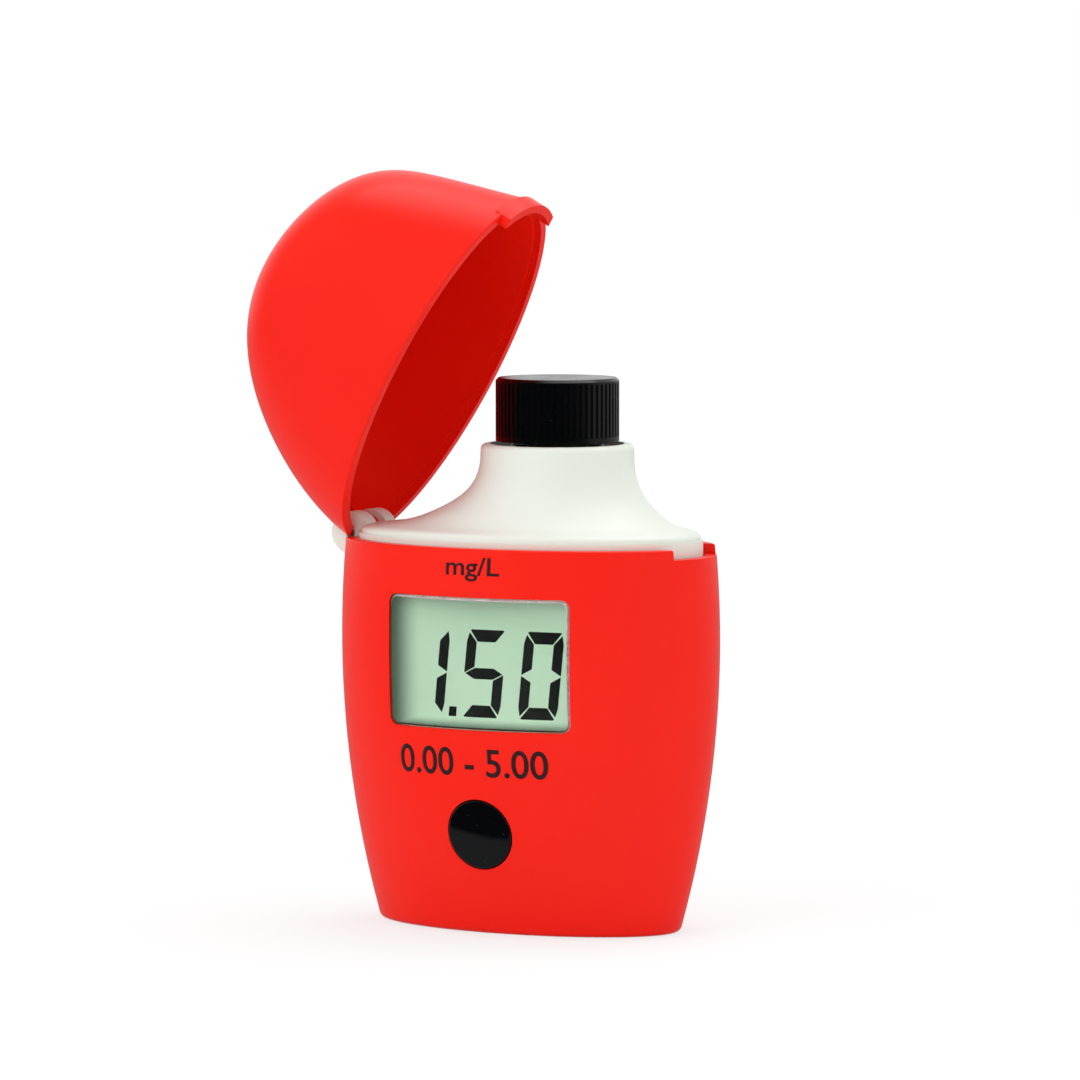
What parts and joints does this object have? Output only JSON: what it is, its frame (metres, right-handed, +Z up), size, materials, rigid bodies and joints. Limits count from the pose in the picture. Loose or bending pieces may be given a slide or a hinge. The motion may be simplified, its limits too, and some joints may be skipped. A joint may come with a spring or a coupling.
{
  "type": "portable colorimeter",
  "caption": "Pocket colorimeter: waisted oval casing with display, button and well for a capped cuvette, and a domed light-shield lid hinged on one side, shown open",
  "frame": {"origin": "centre of the casing's base face, on the axis of the oval casing", "axes": "+Z up, -Y towards the display, -X towards the lid hinge and +X towards the latch"},
  "size_m": [0.0737, 0.0373, 0.1111],
  "materials": {
    "red_casing": "moulded, satin gloss",
    "white_moulding": "moulded, satin",
    "black_cap": "moulded, glossy",
    "black_button": "polished",
    "cuvette_glass": "clear",
    "clear_lens": "clear, polished",
    "display": "reflective liquid crystal behind glass",
    "steel": "zinc plated",
    "contact": "nickel plated",
    "seal": "soft, matt",
    "liner": "foamed, matt",
    "frame": "moulded, matt",
    "strip_rubber": "layered, matt",
    "board": "solder resist",
    "chip": "moulded epoxy",
    "small_parts": "ceramic",
    "switch": "moulded",
    "lamp": "clear epoxy",
    "filter": "coloured glass",
    "photocell": "epoxy over silicon",
    "battery": "printed wrap"
  },
  "bodies": {
    "casing": {"body_shell": "red_casing", "chassis": "white_moulding", "hinge_pin": "steel", "well_seal": "seal", "display_window": "clear_lens", "lcd_glass": "display", "lcd_frame": "frame", "lcd_contact_strips": "strip_rubber", "main_board": "board", "board_chip": "chip", "board_small_parts": "small_parts", "board_screws": "steel", "tact_switch": "switch", "chassis_screws": "steel", "light_source": "lamp", "optical_filter": "filter", "photocell": "photocell", "detector_board": "board", "battery_sleeve": "frame", "battery_top_contact": "contact"},
    "lid": {"lid": "red_casing"},
    "button": {"button": "black_button", "switch_plunger": "switch"},
    "cuvette": {"cuvette": "cuvette_glass"},
    "cap_lift": {"cap_liner": "liner"},
    "cap": {"cuvette_cap": "black_cap"},
    "battery": {"battery": "battery"},
    "battery_cover": {"battery_cover": "red_casing", "battery_cover_screw": "steel", "battery_leaf_contact": "contact"}
  },
  "joints": [
    {"name": "lid_hinge", "type": "hinge", "parent": "casing", "child": "lid", "pos_m": [-0.02765, 0, 0.0573], "axis": [0, -1, 0], "range_deg": [-61, 20]},
    {"name": "button_press", "type": "slide", "parent": "casing", "child": "button", "axis": [0, 1, 0], "range_m": [0, 0.0005], "stiffness_N_per_m": 2500, "springref_m": -0.0002},
    {"name": "cuvette_turn", "type": "hinge", "parent": "casing", "child": "cuvette", "pos_m": [0.0036, 0.002, 0.012], "axis": [0, 0, 1], "continuous": true},
    {"name": "cap_rise", "type": "slide", "parent": "cuvette", "child": "cap_lift", "axis": [0, 0, 1], "range_m": [0, 0.002]},
    {"name": "cap_turn", "type": "hinge", "parent": "cap_lift", "child": "cap", "pos_m": [0.0036, 0.002, 0.0716], "axis": [0, 0, 1], "range_deg": [0, 360]},
    {"name": "battery_slide", "type": "slide", "parent": "casing", "child": "battery", "axis": [0, 0, -1], "range_m": [0, 0.05]},
    {"name": "cover_slide", "type": "slide", "parent": "casing", "child": "battery_cover", "axis": [0, 0, -1], "range_m": [0, 0.05]}
  ],
  "couplings": [
    {"joint": "cap_turn", "follows": "cap_rise", "rad_per_m": 3141.6},
    {"joint": "cover_slide", "follows": "battery_slide", "ratio": 1}
  ]
}
